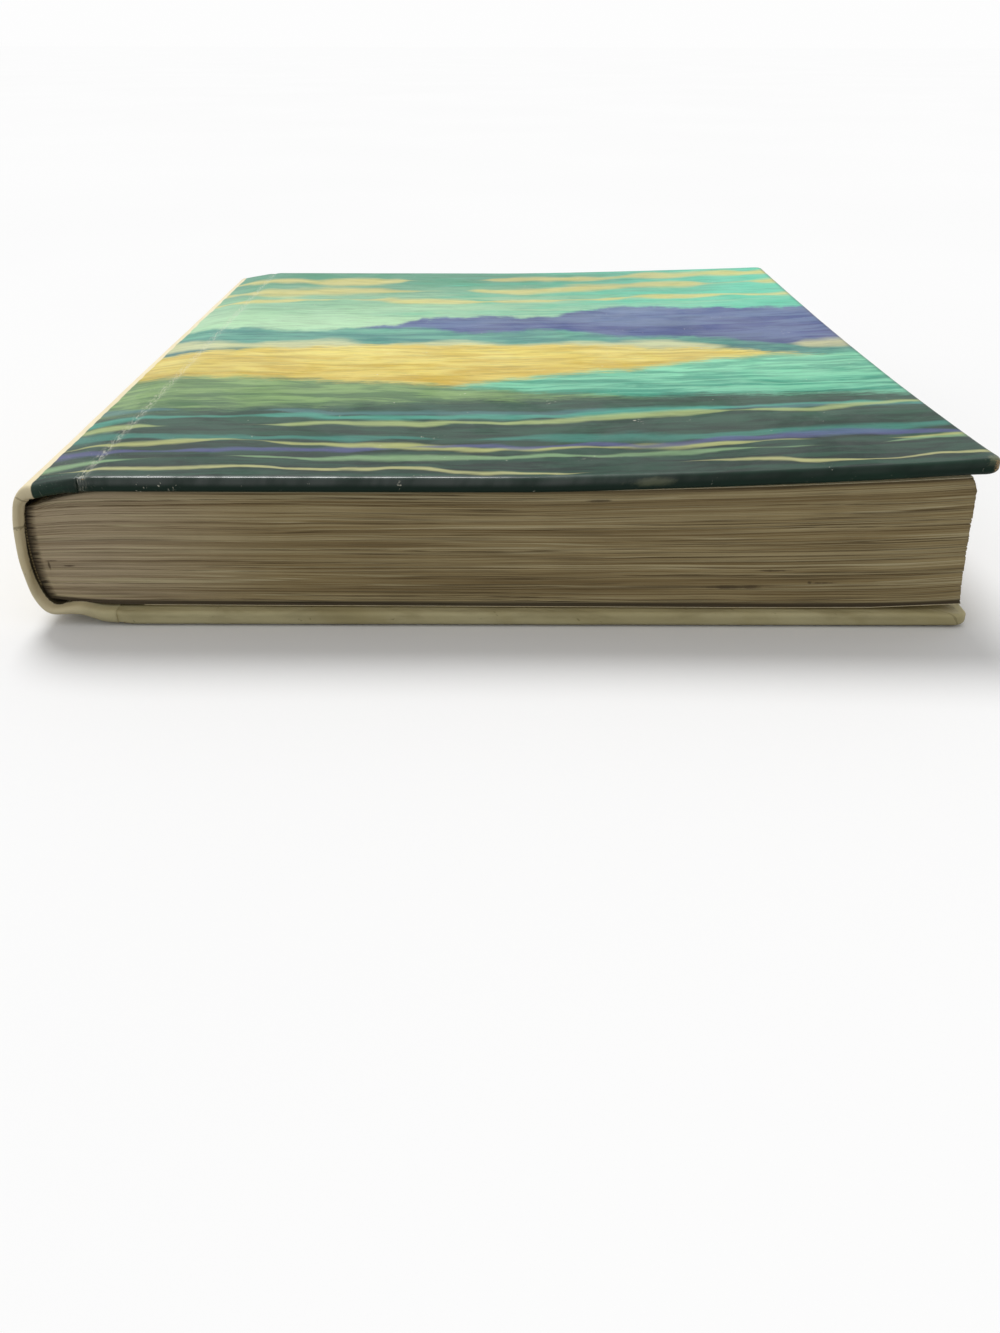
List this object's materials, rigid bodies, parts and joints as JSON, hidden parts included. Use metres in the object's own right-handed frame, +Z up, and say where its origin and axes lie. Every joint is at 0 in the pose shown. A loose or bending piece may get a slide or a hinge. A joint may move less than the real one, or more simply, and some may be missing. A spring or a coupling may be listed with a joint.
{
  "type": "textbook",
  "caption": "Closed hardback textbook with a swollen page block, a curled front cover, a rounded spine and covers that swing open on their hinge creases.",
  "frame": {"origin": "centre of the book's outer box, on the surface that the back cover rests on", "axes": "+X from the spine to the fore-edge, +Y from the tail edge to the head edge, +Z up through the front cover"},
  "size_m": [0.2078, 0.23, 0.0389],
  "materials": {
    "pages": "aged matte page edges",
    "endpaper": "matte aged paper",
    "lining_cloth": "open-weave cloth",
    "spine_card": "matte card",
    "plain_covering": "satin laminated cream sheet",
    "cover_board": "matte grey-brown board",
    "printed_covering": "gloss laminated teal, green and yellow print"
  },
  "bodies": {
    "book_block": {"text_block": "pages", "front_flyleaf": "endpaper", "back_flyleaf": "endpaper", "spine_lining": "lining_cloth", "spine_inlay": "spine_card", "spine_covering": "plain_covering"},
    "front_cover": {"front_board": "cover_board", "front_covering": "printed_covering", "front_pastedown": "endpaper"},
    "back_cover": {"back_board": "cover_board", "back_covering": "plain_covering", "back_pastedown": "endpaper"}
  },
  "joints": [
    {"name": "front_hinge", "type": "hinge", "parent": "book_block", "child": "front_cover", "pos_m": [-0.0871, 0, 0.0344], "axis": [0, -1, 0], "range_deg": [0, 180]},
    {"name": "back_hinge", "type": "hinge", "parent": "book_block", "child": "back_cover", "pos_m": [-0.0838, 0, 0], "axis": [0, 1, 0], "range_deg": [0, 180]}
  ]
}
